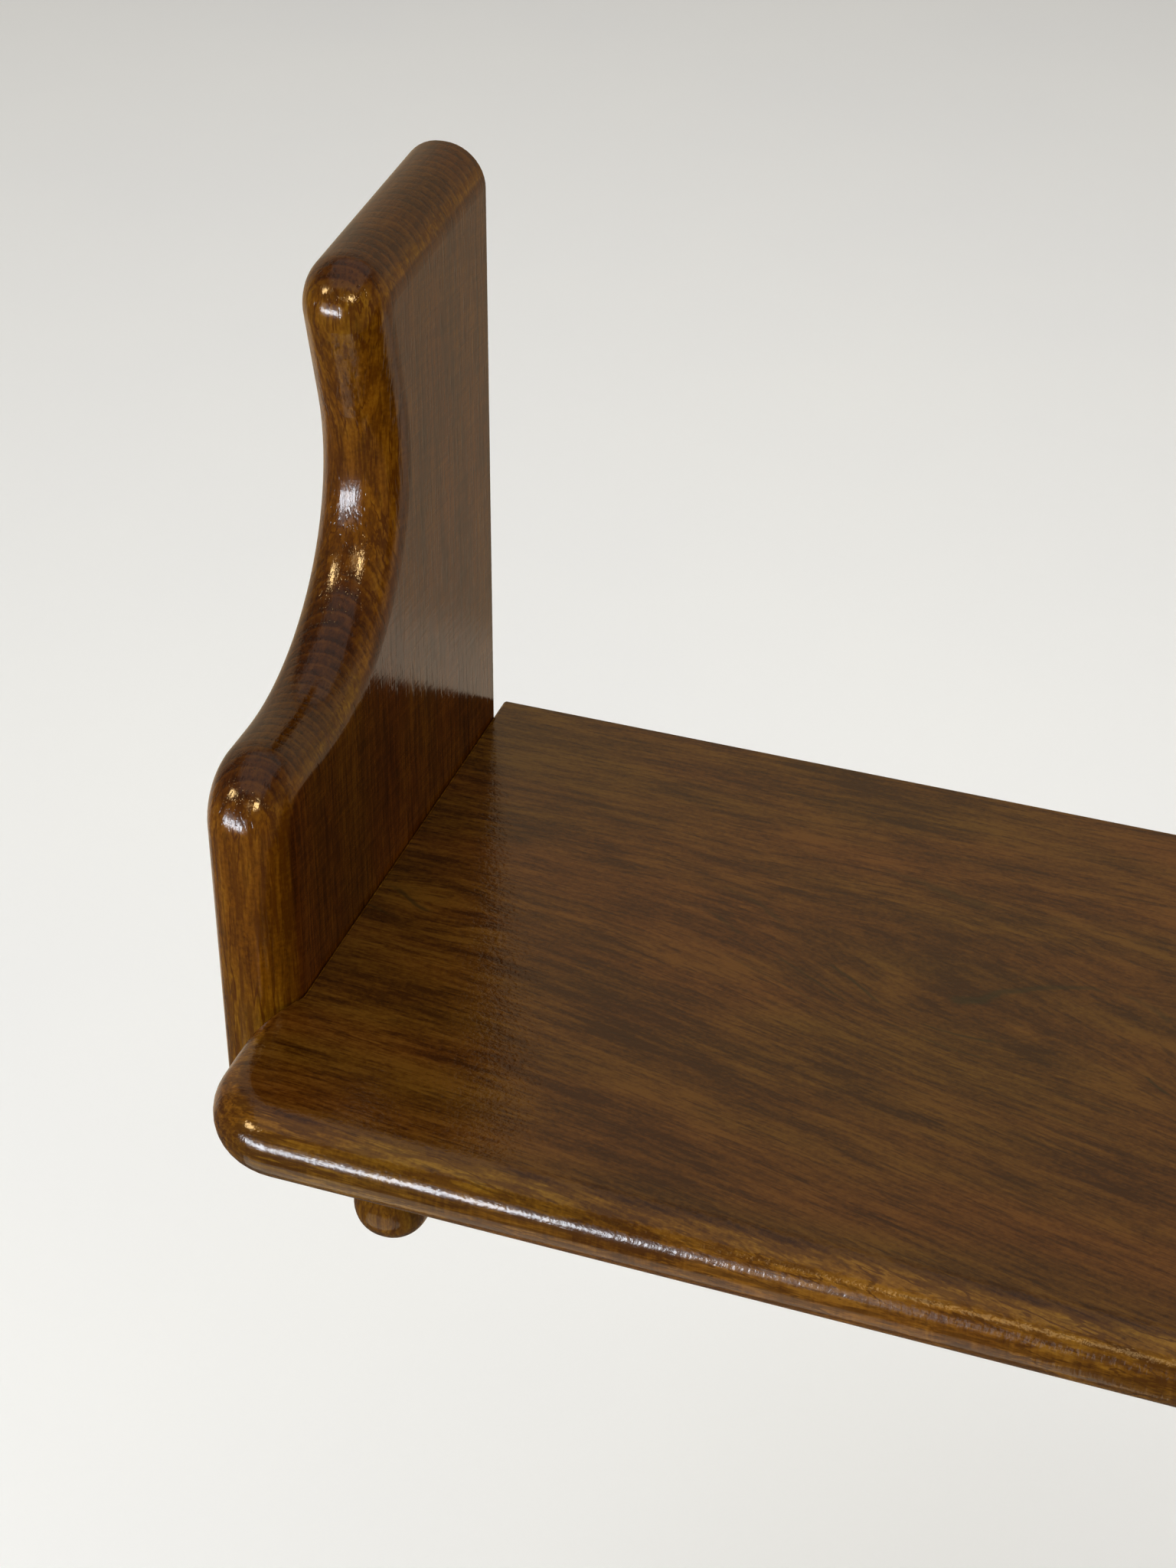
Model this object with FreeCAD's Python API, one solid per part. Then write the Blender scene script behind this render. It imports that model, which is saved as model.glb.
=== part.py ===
import FreeCAD, Part
import math
import os

# Wall shelf: one oak board between two shaped end panels, hung on two keyhole plates.
# Millimetres, X along the shelf, Y into the wall, Z up.
# The origin is the middle of the board's back edge, which rests against the wall.

# End panels, in side view
PANEL_THICKNESS = 23.0
PANEL_SETBACK = 8.0  # from the wall to the panel's back edge
PANEL_DEPTH = 143.5
PANEL_HEIGHT = 332.0
PANEL_RISE = 17.7  # the panel's middle above the board's middle
PANEL_NOSE_FLAT = 1.0  # left between the two halves of the rounded edge
BAND_HEIGHT = 120.0  # straight front edge, corner to corner
BAND_CORNER_EXTRA = 7.8  # radius of the band's corners beyond the edge's rounding
NECK_DEPTH = 53.0  # panel's back edge to the inner corner of the step
WAIST_RADIUS = 48.7
HORN_DEPTH = 76.2  # panel's back edge to the corner of the horn's tip
HORN_FALL = 6.2  # how far the tip's corner lies inside the panel's height
HORN_TIP_EXTRA = 2.0  # radius of the tip beyond the edge's rounding

# Shelf board
SHELF_SPAN = 716.0  # between the inner faces of the end panels
SHELF_OVERHANG = 42.0  # in front of the panels
SHELF_THICKNESS = 20.0
SHELF_NOSE_FLAT = 0.4
SHELF_CORNER_RADIUS = 21.0  # front corners, seen from above
SHELF_ARRIS = 1.2  # easing of the edges that meet or face the panels
EAR_LAP = 9.7  # how far each end of the board reaches across a panel's front edge
EAR_GAP = 0.3  # between the ear's back and the rounded front of the panel
EAR_BACK_DEGREES = 28.0  # between the ear's back and the panel's inner face
EAR_HEEL_RADIUS = 2.5

# Screws through each panel into the board's end, under wooden plugs
JOINT_SCREW_COUNT = 3
JOINT_SCREW_MARGIN = 30.0  # first and last screw from the panel's back and front
JOINT_SCREW_LENGTH = 50.0
JOINT_SCREW_DIAMETER = 4.2
JOINT_HEAD_DIAMETER = 8.4
COUNTERBORE_MARGIN = 0.6  # counterbore around the screw's head
COUNTERBORE_DEPTH = 9.0
PLUG_CROWN = 0.8  # the plug's rounded end above the panel
PLUG_HEADROOM = 0.2

# Keyhole plate let into the back edge of each panel
PLATE_WIDTH = 16.0
PLATE_HEIGHT = 56.0
PLATE_THICKNESS = 2.0
PLATE_CORNER_RADIUS = 4.0
PLATE_DROP = 48.0  # panel's top to the plate's middle
KEYHOLE_DROP = 5.0  # plate's middle to the middle of the keyhole's entry
KEYHOLE_RISE = 11.0  # middle of the entry to the top centre of the slot
KEYHOLE_ENTRY_DIAMETER = 9.0
KEYHOLE_SLOT_WIDTH = 4.6
POCKET_DEPTH = 7.0
POCKET_MARGIN = 1.0  # pocket around the keyhole's entry
PLATE_SCREW_SPACING = 44.0
PLATE_SCREW_LENGTH = 16.0
PLATE_SCREW_DIAMETER = 3.0
PLATE_HEAD_DIAMETER = 6.0

# Shared by both kinds of screw
SCREW_POINT_DEGREES = 30.0
RECESS_WIDTH_SHARE = 0.14  # of the head's diameter, for one bar of the cross recess
RECESS_LENGTH_SHARE = 0.6
RECESS_DEPTH_SHARE = 0.2
FIT_CLEARANCE = 0.05  # around screws, plugs and plates in their seats
CUT_OVERRUN = 5.0  # how far a cutting shape reaches past what it cuts

X_AXIS = FreeCAD.Vector(1, 0, 0)
Y_AXIS = FreeCAD.Vector(0, 1, 0)
Z_AXIS = FreeCAD.Vector(0, 0, 1)
ORIGIN = FreeCAD.Vector(0, 0, 0)

# Places on the left side; the right side is their mirror image
LEFT_INNER = -SHELF_SPAN / 2
LEFT_OUTER = LEFT_INNER - PANEL_THICKNESS
PANEL_BACK = -PANEL_SETBACK
PANEL_FRONT = PANEL_BACK - PANEL_DEPTH
PANEL_TOP = PANEL_RISE + PANEL_HEIGHT / 2
PANEL_MIDDLE_X = LEFT_INNER - PANEL_THICKNESS / 2
PANEL_NOSE_RADIUS = (PANEL_THICKNESS - PANEL_NOSE_FLAT) / 2
SHELF_FRONT = PANEL_FRONT - SHELF_OVERHANG
SHELF_NOSE_RADIUS = (SHELF_THICKNESS - SHELF_NOSE_FLAT) / 2
COUNTERBORE_RADIUS = JOINT_HEAD_DIAMETER / 2 + COUNTERBORE_MARGIN
PLATE_MIDDLE_Z = PANEL_TOP - PLATE_DROP
PLATE_SEAT = PANEL_BACK - PLATE_THICKNESS
KEYHOLE_LOW_Z = PLATE_MIDDLE_Z - KEYHOLE_DROP
KEYHOLE_HIGH_Z = KEYHOLE_LOW_Z + KEYHOLE_RISE
TOUCHING = FIT_CLEARANCE / 50  # two places closer than this are the same


def near(value, target):
    """Whether two coordinates are the same place."""
    return abs(value - target) < TOUCHING


def rounded_outline(corners):
    """Closed wire through (point, radius) corners, each rounded by a tangent arc.

    Two arcs that need more than the side between them shrink to share it.
    """
    count = len(corners)
    points = [point for point, radius in corners]
    halves = []
    reaches = []
    for i, (point, radius) in enumerate(corners):
        before = points[i - 1] - point
        after = points[(i + 1) % count] - point
        halves.append(before.getAngle(after) / 2)
        reaches.append(radius / math.tan(halves[i]))
    shrinks = [1.0] * count
    for i in range(count):
        j = (i + 1) % count
        side = points[i].distanceToPoint(points[j])
        need = reaches[i] + reaches[j]
        if need > side:
            shrinks[i] = min(shrinks[i], side / need)
            shrinks[j] = min(shrinks[j], side / need)
    starts = []
    middles = []
    ends = []
    for i, point in enumerate(points):
        reach = reaches[i] * shrinks[i]
        radius = reach * math.tan(halves[i])
        before = (points[i - 1] - point).normalize()
        after = (points[(i + 1) % count] - point).normalize()
        starts.append(point + before * reach)
        ends.append(point + after * reach)
        middles.append(point + (before + after).normalize() * (radius / math.sin(halves[i]) - radius))
    edges = []
    for i in range(count):
        following = starts[(i + 1) % count]
        if starts[i].distanceToPoint(ends[i]) > TOUCHING:
            edges.append(Part.Arc(starts[i], middles[i], ends[i]).toShape())
        if ends[i].distanceToPoint(following) > TOUCHING:
            edges.append(Part.makeLine(ends[i], following))
    return Part.Wire(edges)


def prism(corners, direction):
    """Solid swept straight from a rounded outline."""
    return Part.Face(rounded_outline(corners)).extrude(direction)


def lathe(profile):
    """Solid turned about Z from (radius, height) points that start and end on the axis."""
    points = [FreeCAD.Vector(radius, 0, height) for radius, height in profile]
    outline = Part.makePolygon(points + points[:1])
    return Part.Face(outline).revolve(ORIGIN, Z_AXIS, 360)


def placed(shape, place, direction):
    """Copy of a shape made along Z at the origin, moved to a place and turned to a direction."""
    moved = shape.copy()
    moved.Placement = FreeCAD.Placement(place, FreeCAD.Rotation(Z_AXIS, direction))
    return moved


def mirrored(shape):
    """The same shape at the other end of the shelf."""
    return shape.mirror(ORIGIN, X_AXIS)


def screw(length, diameter, head):
    """Countersunk screw with a cross recess; its head's flat top is at the origin."""
    shank = diameter / 2
    point = shank / math.tan(math.radians(SCREW_POINT_DEGREES / 2))
    body = lathe([(0, 0), (head / 2, 0), (shank, head / 2 - shank), (shank, length - point), (0, length)])
    width = head * RECESS_WIDTH_SHARE
    reach = head * RECESS_LENGTH_SHARE
    depth = head * RECESS_DEPTH_SHARE
    for along, across in ((reach, width), (width, reach)):
        corner = FreeCAD.Vector(-along / 2, -across / 2, 0)
        body = body.cut(Part.makeBox(along, across, depth, corner))
    return body


def screw_seat(length, diameter, head, mouth, drop):
    """Hole for a countersunk screw whose head lies at the foot of a wider mouth."""
    shank = diameter / 2 + FIT_CLEARANCE
    cone = head / 2 + FIT_CLEARANCE
    top = -drop - CUT_OVERRUN
    foot = length + FIT_CLEARANCE
    upper = [(0, top), (mouth, top), (mouth, 0), (cone, 0)]
    lower = [(shank, cone - shank), (shank, foot), (0, foot)]
    return lathe(upper + lower)


# Board

def ear_line(x):
    """Y of the ear's back at a place across the left panel: a line that clears the panel's rounded front."""
    turn = math.radians(EAR_BACK_DEGREES)
    across = (x - LEFT_INNER + PANEL_NOSE_RADIUS) * math.cos(turn)
    reach = PANEL_NOSE_RADIUS + EAR_GAP - across
    return PANEL_FRONT + PANEL_NOSE_RADIUS - reach / math.sin(turn)


def slab():
    """The whole board, rounded along its front, its front corners and its ends."""
    left = LEFT_INNER - EAR_LAP
    low = -SHELF_THICKNESS / 2
    corners = [
        (FreeCAD.Vector(left, 0, low), 0),
        (FreeCAD.Vector(left, SHELF_FRONT, low), SHELF_CORNER_RADIUS),
        (FreeCAD.Vector(-left, SHELF_FRONT, low), SHELF_CORNER_RADIUS),
        (FreeCAD.Vector(-left, 0, low), 0),
    ]
    block = prism(corners, Z_AXIS * SHELF_THICKNESS)
    nose = []
    for edge in block.Edges:
        middle = edge.CenterOfMass
        if near(abs(middle.z), SHELF_THICKNESS / 2) and not near(middle.y, 0):
            nose.append(edge)
    return block.makeFillet(SHELF_NOSE_RADIUS, nose)


def notch():
    """The corner cut out of the slab for the left panel, which leaves the ear in front."""
    outside = LEFT_INNER - EAR_LAP - CUT_OVERRUN
    low = -SHELF_THICKNESS / 2 - CUT_OVERRUN
    corners = [
        (FreeCAD.Vector(LEFT_INNER, ear_line(LEFT_INNER), low), EAR_HEEL_RADIUS),
        (FreeCAD.Vector(outside, ear_line(outside), low), 0),
        (FreeCAD.Vector(outside, CUT_OVERRUN, low), 0),
        (FreeCAD.Vector(LEFT_INNER, CUT_OVERRUN, low), 0),
    ]
    return prism(corners, Z_AXIS * (SHELF_THICKNESS + 2 * CUT_OVERRUN))


def notch_arrises(board):
    """Edges of the board around its two notches, apart from the upright ones."""
    chosen = []
    for edge in board.Edges:
        points = edge.discretize(5)
        inside = [-abs(p.x) < LEFT_INNER + TOUCHING and p.y > ear_line(-abs(p.x)) - TOUCHING for p in points]
        upright = near(edge.BoundBox.ZLength, SHELF_THICKNESS)
        if all(inside) and not upright:
            chosen.append(edge)
    return chosen


def shelf_board(joint_seats):
    """Board with its notches, eased edges and the pilot holes for the joint screws."""
    board = slab().cut([notch(), mirrored(notch())])
    board = board.makeFillet(SHELF_ARRIS, notch_arrises(board))
    return board.cut(joint_seats + [mirrored(seat) for seat in joint_seats])


# End panel

def panel_blank():
    """Panel with its front, top and bottom edges fully rounded and its back edge square."""
    corner_radius = PANEL_NOSE_RADIUS + BAND_CORNER_EXTRA
    tip_radius = PANEL_NOSE_RADIUS + HORN_TIP_EXTRA
    upper_half = [
        (0, PANEL_HEIGHT / 2, 0),
        (HORN_DEPTH, PANEL_HEIGHT / 2 - HORN_FALL, tip_radius),
        (NECK_DEPTH, BAND_HEIGHT / 2, WAIST_RADIUS),
        (PANEL_DEPTH, BAND_HEIGHT / 2, corner_radius),
    ]
    lower_half = [(depth, -height, radius) for depth, height, radius in reversed(upper_half)]
    corners = []
    for depth, height, radius in upper_half + lower_half:
        point = FreeCAD.Vector(LEFT_OUTER, PANEL_BACK - depth, PANEL_RISE + height)
        corners.append((point, radius))
    block = prism(corners, X_AXIS * PANEL_THICKNESS)
    nose = []
    for edge in block.Edges:
        middle = edge.CenterOfMass
        on_face = near(middle.x, LEFT_INNER) or near(middle.x, LEFT_OUTER)
        if on_face and not near(middle.y, PANEL_BACK):
            nose.append(edge)
    return block.makeFillet(PANEL_NOSE_RADIUS, nose)


def end_panel(joint_seats, plate_seats):
    """Left panel with its screw holes and the seat and pocket of the keyhole plate."""
    recess = upright_block(PLATE_MIDDLE_Z - PLATE_HEIGHT / 2, PLATE_MIDDLE_Z + PLATE_HEIGHT / 2,
                           PLATE_WIDTH, PLATE_CORNER_RADIUS, FIT_CLEARANCE, PLATE_SEAT, CUT_OVERRUN)
    pocket_radius = KEYHOLE_ENTRY_DIAMETER / 2 + POCKET_MARGIN
    pocket = upright_block(KEYHOLE_LOW_Z - pocket_radius, KEYHOLE_HIGH_Z + pocket_radius,
                           2 * pocket_radius, pocket_radius, 0, PLATE_SEAT - POCKET_DEPTH, PANEL_BACK)
    return panel_blank().cut([recess, pocket] + joint_seats + plate_seats)


# Keyhole plate

def upright_block(low, high, width, radius, margin, front, back):
    """Rounded block on the panel's middle, between two heights and two depths."""
    half = width / 2 + margin
    corners = []
    for x, z in ((-half, low - margin), (half, low - margin), (half, high + margin), (-half, high + margin)):
        corners.append((FreeCAD.Vector(PANEL_MIDDLE_X + x, front, z), radius + margin))
    return prism(corners, Y_AXIS * (back - front))


def keyhole_plate(plate_seats):
    """Left plate: a round entry with a slot rising from it, between two countersunk holes."""
    plate = upright_block(PLATE_MIDDLE_Z - PLATE_HEIGHT / 2, PLATE_MIDDLE_Z + PLATE_HEIGHT / 2,
                          PLATE_WIDTH, PLATE_CORNER_RADIUS, 0, PLATE_SEAT, PANEL_BACK)
    front = PLATE_SEAT - CUT_OVERRUN
    back = PANEL_BACK + CUT_OVERRUN
    entry_place = FreeCAD.Vector(PANEL_MIDDLE_X, front, KEYHOLE_LOW_Z)
    entry = Part.makeCylinder(KEYHOLE_ENTRY_DIAMETER / 2, back - front, entry_place, Y_AXIS)
    slot_radius = KEYHOLE_SLOT_WIDTH / 2
    slot = upright_block(KEYHOLE_LOW_Z, KEYHOLE_HIGH_Z + slot_radius,
                         KEYHOLE_SLOT_WIDTH, slot_radius, 0, front, back)
    return plate.cut([entry, slot] + plate_seats)


# Screws, plugs and where they go

def joint_places():
    """Places of the joint screws' heads in the left panel, from back to front."""
    places = []
    run = PANEL_DEPTH - 2 * JOINT_SCREW_MARGIN
    for index in range(JOINT_SCREW_COUNT):
        y = PANEL_BACK - JOINT_SCREW_MARGIN - run * index / max(JOINT_SCREW_COUNT - 1, 1)
        places.append(FreeCAD.Vector(LEFT_OUTER + COUNTERBORE_DEPTH, y, 0))
    return places


def plate_places():
    """Places of the plate screws' heads, at both ends of the left plate."""
    places = []
    for end in (-1, 1):
        z = PLATE_MIDDLE_Z + end * PLATE_SCREW_SPACING / 2
        places.append(FreeCAD.Vector(PANEL_MIDDLE_X, PANEL_BACK - FIT_CLEARANCE, z))
    return places


def screw_plug():
    """Wooden plug for a counterbore, rounded at its outer end; its outer end faces Z."""
    radius = COUNTERBORE_RADIUS - FIT_CLEARANCE
    length = COUNTERBORE_DEPTH - PLUG_HEADROOM + PLUG_CROWN
    plug = Part.makeCylinder(radius, length, FreeCAD.Vector(0, 0, PLUG_HEADROOM))
    rim = [edge for edge in plug.Edges if near(edge.CenterOfMass.z, PLUG_HEADROOM + length)]
    return plug.makeFillet(PLUG_CROWN, rim)


def write(name, solids):
    """One file for one named piece, or for a group of identical fasteners."""
    shape = solids[0] if len(solids) == 1 else Part.makeCompound(solids)
    shape.exportStep("parts/" + name + ".step")


def write_pair(name, solids):
    """The left group and its mirror image."""
    write("left_" + name, solids)
    write("right_" + name, [mirrored(solid) for solid in solids])


def main():
    os.makedirs("parts", exist_ok=True)
    joint_screw = screw(JOINT_SCREW_LENGTH, JOINT_SCREW_DIAMETER, JOINT_HEAD_DIAMETER)
    joint_seat = screw_seat(JOINT_SCREW_LENGTH, JOINT_SCREW_DIAMETER, JOINT_HEAD_DIAMETER,
                            COUNTERBORE_RADIUS, COUNTERBORE_DEPTH)
    joint_seats = [placed(joint_seat, place, X_AXIS) for place in joint_places()]
    plate_screw = screw(PLATE_SCREW_LENGTH, PLATE_SCREW_DIAMETER, PLATE_HEAD_DIAMETER)
    plate_seat = screw_seat(PLATE_SCREW_LENGTH, PLATE_SCREW_DIAMETER, PLATE_HEAD_DIAMETER,
                            PLATE_HEAD_DIAMETER / 2 + FIT_CLEARANCE, 0)
    plate_seats = [placed(plate_seat, place, -Y_AXIS) for place in plate_places()]

    write("shelf_board", [shelf_board(joint_seats)])
    write_pair("end_panel", [end_panel(joint_seats, plate_seats)])
    write_pair("joint_screws", [placed(joint_screw, place, X_AXIS) for place in joint_places()])
    write_pair("screw_plugs", [placed(screw_plug(), place, -X_AXIS) for place in joint_places()])
    write_pair("keyhole_plate", [keyhole_plate(plate_seats)])
    write_pair("plate_screws", [placed(plate_screw, place, -Y_AXIS) for place in plate_places()])


main()
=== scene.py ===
import math

import bpy
from mathutils import Euler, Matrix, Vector


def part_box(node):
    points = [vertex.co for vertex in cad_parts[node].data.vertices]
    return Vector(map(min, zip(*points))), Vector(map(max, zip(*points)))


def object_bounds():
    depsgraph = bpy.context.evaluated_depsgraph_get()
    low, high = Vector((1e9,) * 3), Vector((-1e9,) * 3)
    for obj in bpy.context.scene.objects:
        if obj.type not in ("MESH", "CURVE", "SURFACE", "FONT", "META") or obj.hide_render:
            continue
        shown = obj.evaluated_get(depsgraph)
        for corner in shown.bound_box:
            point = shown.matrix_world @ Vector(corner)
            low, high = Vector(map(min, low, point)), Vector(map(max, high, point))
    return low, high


MM = 0.001

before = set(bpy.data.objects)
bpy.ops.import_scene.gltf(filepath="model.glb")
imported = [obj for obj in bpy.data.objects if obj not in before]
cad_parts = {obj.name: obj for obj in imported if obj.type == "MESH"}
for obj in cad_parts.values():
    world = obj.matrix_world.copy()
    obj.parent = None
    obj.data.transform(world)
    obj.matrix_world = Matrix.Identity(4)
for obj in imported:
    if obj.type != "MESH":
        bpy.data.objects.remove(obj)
cad_low, cad_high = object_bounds()

# Places that the finish, the lights and the camera are measured from
panel_low, panel_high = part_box("left_end_panel")
board_low, board_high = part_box("shelf_board")
INNER_X = panel_high[0]
PANEL_MIDDLE_X = (panel_low[0] + panel_high[0]) / 2
SHELF_FRONT = board_low[1]
SHELF_TOP = board_high[2]

# Which two axes lie across the grain, and which one along it
GRAIN_AXES = {"X": ("Y", "Z", "X"), "Z": ("X", "Y", "Z")}

# Dark, middle and light colours of the stained wood
PANEL_TONES = ((0.025, 0.0063, 0.0003), (0.052, 0.0148, 0.0007), (0.080, 0.0270, 0.0016))
BOARD_TONES = ((0.023, 0.0068, 0.0004), (0.050, 0.0176, 0.0014), (0.078, 0.0315, 0.0034))
KNOT_LINE = (0.014, 0.0095, 0.002, 1.0)

# Factors on those colours: where the stain lies differently, and painted light on the edges that face ahead
# and behind
RED_STAIN = (1.05, 0.93, 1.1, 1.0)
YELLOW_STAIN = (0.96, 1.05, 0.9, 1.0)
PANEL_EDGE_LIGHT = (1.95, 2.6, 2.1, 1.0)
BOARD_EDGE_LIGHT = (1.95, 2.2, 1.7, 1.0)

# Patterns in the wood, as waves per metre: twice across the grain, then along it
FIBRES = (950.0, 950.0, 75.0)
STREAKS = (400.0, 400.0, 42.0)
PATCHES = (110.0, 110.0, 22.0)
CLOUDS = (42.0, 42.0, 12.0)
PORES = (1300.0, 1300.0, 110.0)
RAYS = (1300.0, 110.0, 850.0)
VEINS = (190.0, 190.0, 17.0)
EDGE_DASHES = (620.0, 620.0, 60.0)
HUES = (40.0, 40.0, 10.0)
FIBRE_WANDER = (16.0, 16.0, 7.0)
PITH_SWAY = (7.0, 7.0, 3.2)
RING_RIPPLE = (48.0, 48.0, 26.0)
RING_WIDTHS = (25.0, 25.0, 4.0)
KNOT_LINE_BREAKS = (55.0, 55.0, 35.0)
POLISH = (45.0, 45.0, 30.0)

# How squarely a surface has to face its way: leaving the flat side and cut too much for an edge (these two
# bound the painted edge light), and end grain
EDGE_SIDE = (0.97, 0.92)
EDGE_CUT = (0.75, 0.35)
END_CUT = (0.2, 0.9)

# Lacquer over wood that is dull by itself
WOOD_ROUGHNESS = 0.5
COAT_WEIGHT = 0.4
COAT_IOR = 1.5
PORE_DIP = 0.05 * MM
POLISH_WAVE = 0.02 * MM

# Depth of the brush lines in metal
BRUSH_DEPTH = 0.01 * MM

# Pale floor well below the shelf, as the shelf hangs on a wall
FLOOR_DROP = 0.35
FLOOR_SIZE = 12.0
FLOOR_TONES = ((0.88, 0.93, 0.99), (0.90, 0.95, 1.0))

# The point that the lights stand round, and colours that several of them share
LIGHT_CENTRE = Vector((PANEL_MIDDLE_X, SHELF_FRONT, SHELF_TOP))
WINDOW_COLOR = (0.86, 0.92, 1.0)
LAMP_COLOR = (1.0, 0.68, 0.30)
WORLD_COLOR = (1.0, 0.88, 0.72, 1.0)
WORLD_STRENGTH = 0.25

# The photograph's view: from the right of the left panel, ahead and above
CAMERA_PLACE = (240.87 * MM, -626.11 * MM, 441.86 * MM)  # from the inner face, the wall and the shelf's top
CAMERA_TURN = (54.883, -0.4127, 19.1965)  # degrees about X, Y and Z
CAMERA_LENS = 62.83
CAMERA_FRAME = 36.0  # height of the frame that the lens is given for


class Nodes:
    """Short way to write a material's node tree; a call for a texture or a sum returns its output socket."""

    def __init__(self, name):
        self.material = bpy.data.materials.new(name)
        self.material.use_nodes = True
        self.tree = self.material.node_tree
        self.shader = self.tree.nodes["Principled BSDF"]

    def new(self, kind, **settings):
        node = self.tree.nodes.new(kind)
        for key, value in settings.items():
            setattr(node, key, value)
        return node

    def feed(self, node, values):
        """Sets or links inputs, by name or by place."""
        for key, value in values.items():
            socket = node.inputs[key]
            if isinstance(value, bpy.types.NodeSocket):
                self.tree.links.new(value, socket)
            else:
                socket.default_value = value

    def place(self):
        return self.new("ShaderNodeTexCoord").outputs["Object"]

    def axes(self, vector):
        node = self.new("ShaderNodeSeparateXYZ")
        self.feed(node, {0: vector})
        return node.outputs

    def join(self, values):
        node = self.new("ShaderNodeCombineXYZ")
        self.feed(node, dict(enumerate(values)))
        return node.outputs[0]

    def vector_math(self, operation, first, second):
        node = self.new("ShaderNodeVectorMath", operation=operation)
        self.feed(node, {0: first, 1: second})
        return node.outputs[0]

    def math(self, operation, first, second=0.0, third=0.0):
        node = self.new("ShaderNodeMath", operation=operation)
        self.feed(node, {0: first, 1: second, 2: third})
        return node.outputs[0]

    def noise(self, vector, scale, detail=2.0, roughness=0.5, color=False):
        node = self.new("ShaderNodeTexNoise")
        self.feed(node, {"Vector": vector, "Scale": scale, "Detail": detail, "Roughness": roughness})
        return node.outputs["Color" if color else "Fac"]

    def pattern(self, vector, waves, **settings):
        """Noise with its own number of waves per metre along each axis."""
        return self.noise(self.vector_math("MULTIPLY", vector, waves), 1.0, **settings)

    def ramp(self, factor, stops):
        """Colour ramp from (place, colour) stops."""
        node = self.new("ShaderNodeValToRGB")
        band = node.color_ramp
        while len(band.elements) < len(stops):
            band.elements.new(0.5)
        for element, (place, color) in zip(band.elements, stops):
            element.position = place
            element.color = (*color, 1.0) if len(color) == 3 else color
        self.feed(node, {"Fac": factor})
        return node.outputs["Color"]

    def range(self, value, low, high, out_low=0.0, out_high=1.0):
        """Smooth step from out_low at low to out_high at high."""
        node = self.new("ShaderNodeMapRange", interpolation_type="SMOOTHSTEP")
        self.feed(node, {"Value": value, "From Min": low, "From Max": high,
                         "To Min": out_low, "To Max": out_high})
        return node.outputs["Result"]

    def mix(self, factor, first, second, blend="MIX"):
        node = self.new("ShaderNodeMix", data_type="RGBA", blend_type=blend)
        self.feed(node, {0: factor, 6: first, 7: second})
        return node.outputs[2]

    def tint(self, color, factors):
        return self.mix(1.0, color, factors, blend="MULTIPLY")

    def bump(self, height, distance, normal=None):
        node = self.new("ShaderNodeBump")
        self.feed(node, {"Height": height, "Distance": distance, "Strength": 1.0})
        if normal is not None:
            self.feed(node, {"Normal": normal})
        return node.outputs["Normal"]


def wood_place(n, grain, seed):
    """Object coordinates turned so that Z follows the grain, and the same moved by a seed."""
    place = n.axes(n.place())
    turned = n.join([place[axis] for axis in GRAIN_AXES[grain]])
    moved = n.vector_math("ADD", turned, (seed * 0.37, seed * 0.71, seed * 1.13))
    return turned, moved


def bell(n, axes, knot, spread=1.0):
    """1 in the middle of a knot, falling to 0 round it."""
    along, across, reach_along, reach_across = knot[:4]
    far_along = n.math("DIVIDE", n.math("SUBTRACT", axes[2], along), reach_along * spread)
    far_across = n.math("DIVIDE", n.math("SUBTRACT", axes[0], across), reach_across * spread)
    square = n.math("MULTIPLY_ADD", far_along, far_along, n.math("MULTIPLY", far_across, far_across))
    return n.math("EXPONENT", n.math("MULTIPLY", square, -1.0))


def fibre_flow(n, wood, seeded, wander, drift, knots):
    """Coordinates that follow the fibres: they wander, drift to one side and part round the knots."""
    axes = n.axes(wood)
    wave = n.pattern(seeded, FIBRE_WANDER)
    across = n.math("MULTIPLY_ADD", n.math("SUBTRACT", wave, 0.5), wander, axes[0])
    if drift:
        along = n.range(axes[2], drift["start"], drift["end"])
        front = n.range(axes[0], drift["back"], drift["front"])
        across = n.math("MULTIPLY_ADD", n.math("MULTIPLY", along, front), drift["reach"], across)
    for knot in knots:
        pull = n.math("MULTIPLY", bell(n, (across, axes[1], axes[2]), knot), 0.6)
        across = n.math("MULTIPLY_ADD", n.math("SUBTRACT", knot[1], across), pull, across)
    return n.join((across, axes[1], axes[2]))


def ring_radius(n, flow, seeded, pith, sway, knots):
    """Distance from a wandering pith line, swollen round the knots."""
    axes = n.axes(flow)
    turn = n.axes(n.pattern(seeded, PITH_SWAY, color=True))
    squares = []
    for index in (0, 1):
        shift = n.math("MULTIPLY_ADD", turn[index], sway, -sway / 2 - pith[index])
        offset = n.math("ADD", axes[index], shift)
        squares.append(n.math("MULTIPLY", offset, offset))
    radius = n.math("SQRT", n.math("ADD", *squares))
    for knot in knots:
        lift = knot[4]
        radius = n.math("MULTIPLY_ADD", bell(n, axes, knot), lift, radius)
    ripple = n.pattern(seeded, RING_RIPPLE, detail=3.0, roughness=0.6)
    return n.math("MULTIPLY_ADD", ripple, sway / 3, radius)


def year_of_growth(n, radius, seeded, ring):
    """The year's porous, darker start and the thin light close of its denser part, each up to 1."""
    uneven = n.pattern(seeded, RING_WIDTHS, detail=1.0)
    season = n.math("FRACT", n.math("MULTIPLY_ADD", uneven, 1.2, n.math("DIVIDE", radius, ring)))
    early = n.math("MULTIPLY", n.range(season, 0.5, 0.15), n.range(season, 0.0, 0.07))
    late = n.math("MULTIPLY", n.range(season, 0.74, 0.86), n.range(season, 1.0, 0.94))
    return early, late


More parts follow.
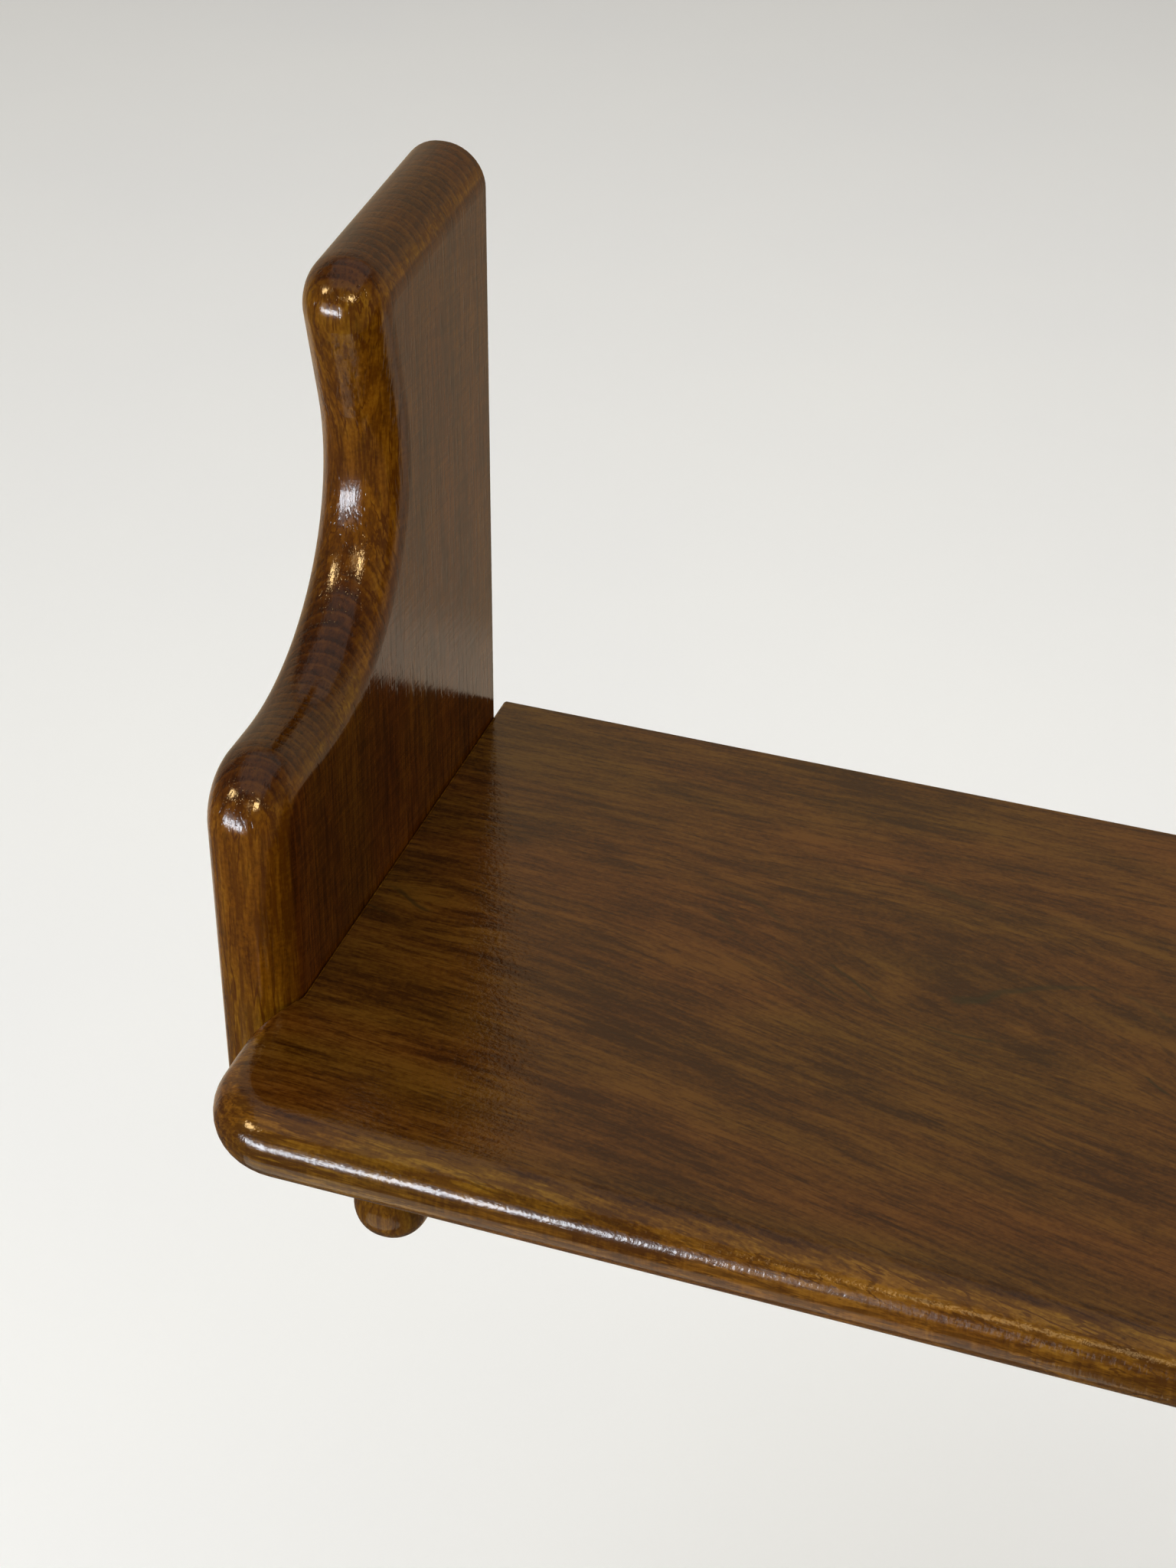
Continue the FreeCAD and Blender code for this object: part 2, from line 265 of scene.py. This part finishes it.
def knot_lines(n, base, flow, seeded, radius, ring, knots):
    """Round a knot some rings close up into thin, broken dark lines."""
    turn = n.math("FRACT", n.math("DIVIDE", radius, 2.4 * ring))
    line = n.math("MULTIPLY", n.range(turn, 0.17, 0.09), n.range(turn, 0.0, 0.06))
    broken = n.range(n.pattern(seeded, KNOT_LINE_BREAKS), 0.5, 0.58)
    for knot in knots:
        near = bell(n, n.axes(flow), knot, spread=1.6)
        shown = n.math("MULTIPLY", near, n.math("MULTIPLY", line, broken))
        base = n.mix(n.math("MULTIPLY", shown, 0.75), base, KNOT_LINE)
    return base


def paint_edge_light(n, base, seeded, veins, middle, side, cut, edge_light):
    """Painted light: edges, which face ahead and behind, are painted lighter and more golden, standing in
    for the light that they catch; soft brown dashes and veins of the grain lie over them.
    """
    edge = n.math("MULTIPLY", n.range(side, *EDGE_SIDE), n.range(cut, *EDGE_CUT))
    dashes = n.range(n.pattern(seeded, EDGE_DASHES, roughness=0.6), 0.5, 0.62)
    marks = n.math("MAXIMUM", n.math("MULTIPLY", dashes, 0.65), n.math("MULTIPLY", veins, 0.85))
    # Painted light: the colour made lighter and more golden on the edges, with the grain marks over it
    lit_edge_color = n.mix(marks, n.tint(base, edge_light), (*middle, 1.0))
    return n.mix(edge, base, lit_edge_color)


def oak(name, grain, face, pith, ring, tones, seed, figure=1.0, contrast=1.0, sway=4 * MM, wander=1.5 * MM,
        drift=None, knots=(), end_shade=1.0, edge_light=PANEL_EDGE_LIGHT, relief=1.0, ray_relief=0.6,
        shine=0.12):
    """Lacquered oak, solid all through: rings round a pith line, pores, rays and slow colour drift.

    grain is the axis that the fibres follow, and face the axis that the flat sides look along
    pith is the rings' centre across the grain, and ring the width of one year's growth, in metres
    tones are the dark, middle and light colours, and seed moves the patterns from piece to piece
    figure is the strength of the rings, and contrast that of the streaks
    sway and wander are how far the pith and the fibres stray, in metres
    drift tells where the fibres slant to one side, and how far
    knots are (along, across, reach along, reach across, lift) places where the rings swell
    end_shade is a factor on the colour of cut end grain, and edge_light the factors of the painted light on
    the edges relief and ray_relief are how much fibres and pores, and rays, dent the lacquer
    shine is the lacquer's roughness
    """
    dark, middle, light = tones
    n = Nodes(name)
    wood, seeded = wood_place(n, grain, seed)
    flow = fibre_flow(n, wood, seeded, wander, drift, knots)
    radius = ring_radius(n, flow, seeded, pith, sway, knots)
    early, late = year_of_growth(n, radius, seeded, ring)

    normal = n.axes(n.new("ShaderNodeNewGeometry").outputs["Normal"])
    cut = n.math("ABSOLUTE", normal[grain])
    side = n.math("ABSOLUTE", normal[face])

    fibre = n.pattern(flow, FIBRES, detail=3.0, roughness=0.65)
    streak = n.pattern(flow, STREAKS, detail=4.0, roughness=0.66)
    patch = n.pattern(flow, PATCHES, detail=3.0, roughness=0.55)
    cloud = n.pattern(flow, CLOUDS)
    speck = n.pattern(flow, PORES, detail=1.5, roughness=0.6)
    pores = n.range(n.math("MULTIPLY_ADD", early, 0.08, speck), 0.58, 0.72)
    rays = n.pattern(seeded, RAYS)

    # Thin dark lines of large pores, in places
    thread = n.math("SUBTRACT", n.pattern(flow, VEINS, detail=4.0, roughness=0.6), 0.5)
    veins = n.range(n.math("ABSOLUTE", thread), 0.028, 0.006)
    veins = n.math("MULTIPLY", veins, n.range(patch, 0.38, 0.54))

    # All of these move one tone between the three colours; rings show most on cut end grain
    tone = n.math("MULTIPLY_ADD", n.math("SUBTRACT", streak, 0.5), 1.6 * contrast, 0.5)
    shown = n.math("MULTIPLY", n.range(cut, 0.3, 0.75, 0.5, 1.6), figure)
    rings = n.math("MULTIPLY_ADD", early, -0.14, n.math("MULTIPLY", late, 0.16))
    tone = n.math("MULTIPLY_ADD", rings, shown, tone)
    tone = n.math("MULTIPLY_ADD", veins, -0.2 * contrast, tone)
    weights = ((fibre, 1.1 * contrast), (patch, 1.4 * contrast), (cloud, 0.9 * contrast), (rays, 0.8))
    for part, weight in weights:
        tone = n.math("MULTIPLY_ADD", n.math("SUBTRACT", part, 0.5), weight, tone)
    base = n.ramp(tone, [(0.1, dark), (0.5, middle), (0.9, light)])
    pore_color = (*(0.6 * value for value in dark), 1.0)
    base = n.mix(n.math("MULTIPLY", pores, 0.5), base, pore_color)

    # The stain is redder in some places and yellower in others
    base = n.tint(base, n.ramp(n.pattern(seeded, HUES), [(0.35, RED_STAIN), (0.65, YELLOW_STAIN)]))
    base = knot_lines(n, base, flow, seeded, radius, ring, knots)
    # Painted light on the edges that face ahead and behind
    base = paint_edge_light(n, base, seeded, veins, middle, side, cut, edge_light)

    # End grain takes the stain differently
    ends = n.tint(base, (end_shade, end_shade, end_shade, 1.0))
    base = n.mix(n.range(cut, *END_CUT), base, ends)

    # The lacquer dips a little into the pores and lies in slow waves from sanding and rubbing
    waved = n.bump(n.pattern(seeded, POLISH), POLISH_WAVE)
    height = n.math("MULTIPLY_ADD", fibre, relief, n.math("MULTIPLY", rays, ray_relief))
    height = n.math("MULTIPLY_ADD", pores, -0.7 * relief, height)
    skin = n.bump(height, PORE_DIP, normal=waved)
    n.feed(n.shader, {
        "Base Color": base,
        "Roughness": WOOD_ROUGHNESS,
        "Normal": skin,
        "Specular IOR Level": 0.0,
        "Coat Weight": COAT_WEIGHT,
        "Coat Roughness": shine,
        "Coat IOR": COAT_IOR,
        "Coat Normal": skin,
    })
    return n.material


def metal(name, color, roughness, brush, patches, tarnish):
    """Plated metal with brush lines along Z and dull, darker patches.

    brush and patches are waves per metre, and tarnish are the factors on the colour of the dull patches.
    """
    n = Nodes(name)
    place = n.place()
    lines = n.pattern(place, (brush, brush, brush / 30))
    spots = n.pattern(place, patches, detail=4.0, roughness=0.6)
    worn = n.range(spots, 0.42, 0.68)
    dull = tuple(value * shade for value, shade in zip(color, tarnish))
    rough = n.math("MULTIPLY_ADD", worn, 0.4, lines)
    n.feed(n.shader, {
        "Base Color": n.mix(n.math("MULTIPLY", worn, 0.6), (*color, 1.0), (*dull, 1.0)),
        "Metallic": 1.0,
        "Roughness": n.range(rough, 0.3, 1.1, roughness, roughness + 0.25),
        "Normal": n.bump(lines, BRUSH_DEPTH),
    })
    return n.material


def dress(material, *nodes):
    """Puts one material in every slot of these CAD nodes."""
    for node in nodes:
        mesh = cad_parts[node].data
        mesh.materials.clear()
        mesh.materials.append(material)


# Knots on the board: along, across, reach along, reach across and how far the rings swell
BOARD_KNOTS = (
    (INNER_X + 0.150, -0.066, 0.040, 0.018, 15 * MM),
    (INNER_X + 0.226, -0.062, 0.020, 0.014, 12 * MM),
    (INNER_X + 0.018, -0.097, 0.014, 0.009, 5 * MM),
    (-INNER_X - 0.190, -0.070, 0.024, 0.012, 9 * MM),
)

# From the left end on, the board's grain drifts towards the front edge
BOARD_DRIFT = {"start": INNER_X, "end": INNER_X + 0.33, "back": -0.02, "front": -0.11, "reach": 50 * MM}

# What both panels share; each has its rings' centre in front of its edge
PANEL_OAK = {"grain": "Z", "face": "X", "tones": PANEL_TONES, "contrast": 0.75, "sway": 5 * MM,
             "end_shade": 0.62, "relief": 0.9}


def finish_pieces():
    board = oak("oak_board", "X", "Z", pith=(-0.200, -0.100), ring=3.4 * MM, tones=BOARD_TONES, seed=3.0,
                figure=0.5, contrast=1.08, sway=16 * MM, wander=9 * MM, drift=BOARD_DRIFT, knots=BOARD_KNOTS,
                end_shade=1.8, edge_light=BOARD_EDGE_LIGHT, relief=0.15, ray_relief=1.6, shine=0.14)
    left = oak("oak_left_panel", pith=(PANEL_MIDDLE_X + 0.004, -0.164), ring=3.2 * MM, seed=1.0, **PANEL_OAK)
    right = oak("oak_right_panel", pith=(-PANEL_MIDDLE_X - 0.004, -0.170), ring=3.4 * MM, seed=7.0,
                **PANEL_OAK)
    plugs = oak("oak_plugs", "Z", "X", pith=(0.0, -0.3), ring=2.2 * MM, tones=BOARD_TONES, seed=5.0)
    dress(board, "shelf_board")
    dress(left, "left_end_panel")
    dress(right, "right_end_panel")
    dress(plugs, "left_screw_plugs", "right_screw_plugs")

    plate = metal("brass_plate", (0.72, 0.50, 0.22), 0.22, 2400.0, (164.0, 160.0, 160.0), (0.55, 0.5, 0.42))
    brass = metal("brass_screw", (0.74, 0.53, 0.25), 0.18, 3200.0, (169.0, 160.0, 160.0), (0.5, 0.45, 0.4))
    zinc = metal("zinc_screw", (0.62, 0.62, 0.6), 0.25, 3200.0, (162.0, 160.0, 160.0), (0.7, 0.7, 0.72))
    dress(plate, "left_keyhole_plate", "right_keyhole_plate")
    dress(brass, "left_plate_screws", "right_plate_screws")
    dress(zinc, "left_joint_screws", "right_joint_screws")


def make_floor():
    bpy.ops.mesh.primitive_plane_add(size=FLOOR_SIZE, location=(0, 0, cad_low[2] - FLOOR_DROP))
    floor = bpy.context.object
    floor.name = "studio_floor"
    n = Nodes("pale_floor")
    mottle = n.noise(n.place(), 3.0, detail=3.0)
    n.feed(n.shader, {
        "Base Color": n.ramp(mottle, [(0.3, FLOOR_TONES[0]), (0.7, FLOOR_TONES[1])]),
        "Roughness": 1.0,
        "Specular IOR Level": 0.0,
    })
    floor.data.materials.append(n.material)
    floor.visible_glossy = False


def area_light(name, azimuth, elevation, distance, size, radiance, color, spread=179):
    """Area light round the shelf's left end; azimuth 0 is straight ahead, positive to the right.

    The power follows from the radiance that the shelf sees; a narrow spread gathers it towards the middle.
    """
    turn, rise, cone = math.radians(azimuth), math.radians(elevation), math.radians(spread) / 2
    away = Vector((math.sin(turn) * math.cos(rise), -math.cos(turn) * math.cos(rise), math.sin(rise)))
    lamp = bpy.data.lights.new(name, "AREA")
    lamp.shape = "RECTANGLE"
    lamp.size, lamp.size_y = size
    lamp.energy = radiance * math.pi * size[0] * size[1] * (1 - cone / math.tan(cone))
    lamp.color = color
    lamp.spread = 2 * cone
    holder = bpy.data.objects.new(name, lamp)
    holder.location = LIGHT_CENTRE + away * distance
    holder.rotation_euler = (-away).to_track_quat("-Z", "Y").to_euler()
    bpy.context.scene.collection.objects.link(holder)
    return holder


def soft_light(*settings, **options):
    """Light that the lacquer doesn't mirror."""
    holder = area_light(*settings, **options)
    holder.visible_glossy = False
    return holder


def card(*settings):
    """Light that shows only as a reflection in the lacquer."""
    holder = area_light(*settings)
    holder.visible_diffuse = False
    holder.visible_camera = False


def light_scene():
    # Soft light from above, ahead and the sides
    area_light("ceiling", 0, 85, 3.2, (4.5, 4.5), 0.88, (1.0, 0.95, 0.88))
    soft_light("sky", 10, 70, 2.8, (3.0, 3.0), 1.9, (1.0, 0.98, 0.95))
    soft_light("front_key", -30, 2, 2.2, (1.8, 0.9), 6.7, (1.0, 0.96, 0.9), spread=80)
    soft_light("right_fill", 80, 14, 2.4, (1.6, 1.2), 3.8, (1.0, 0.9, 0.76), spread=90)
    soft_light("back_fill", 180, 40, 2.6, (3.2, 1.6), 0.4, (1.0, 0.9, 0.78))
    soft_light("low_fill", -30, -18, 1.2, (1.2, 0.22), 3.2, (1.0, 0.95, 0.8)).visible_camera = False

    # What the lacquer mirrors: pale windows ahead on the left, warm lamps over them, a warm wall behind
    for index, (azimuth, radiance) in enumerate(((-43, 44), (-29, 60), (-15, 52))):
        card("window_%d" % index, azimuth, -1.5, 2.2, (0.42, 0.38), radiance, WINDOW_COLOR)
    card("window_haze", -24, 1, 2.2, (2.0, 0.9), 3.0, WINDOW_COLOR)
    for index, (azimuth, radiance) in enumerate(((-52, 80), (3, 12), (24, 90))):
        card("lamp_%d" % index, azimuth, 34, 2.0, (0.32, 0.32), radiance, LAMP_COLOR)
    card("wall", 180, 0, 0.55, (3.4, 1.5), 0.78, (1.0, 0.74, 0.45))
    card("wall_glow", 172, 44, 0.77, (3.4, 0.6), 0.32, (1.0, 0.76, 0.46))
    card("wall_foot", 180, -36.5, 0.69, (3.4, 0.32), 0.47, (1.0, 0.94, 0.82))
    card("front_foot", -15, -68, 0.45, (0.5, 0.3), 1.7, (1.0, 0.88, 0.68))

    world = bpy.data.worlds.new("studio")
    world.use_nodes = True
    background = world.node_tree.nodes["Background"].inputs
    background["Color"].default_value = WORLD_COLOR
    background["Strength"].default_value = WORLD_STRENGTH
    bpy.context.scene.world = world
    bpy.context.scene.view_settings.view_transform = "Standard"


def make_camera():
    data = bpy.data.cameras.new("camera")
    data.sensor_fit = "VERTICAL"
    data.sensor_height = CAMERA_FRAME
    data.lens = CAMERA_LENS
    camera = bpy.data.objects.new("camera", data)
    x, y, z = CAMERA_PLACE
    camera.location = (INNER_X + x, y, SHELF_TOP + z)
    camera.rotation_euler = Euler([math.radians(angle) for angle in CAMERA_TURN])
    bpy.context.scene.collection.objects.link(camera)
    bpy.context.scene.camera = camera


finish_pieces()
make_floor()
light_scene()
make_camera()
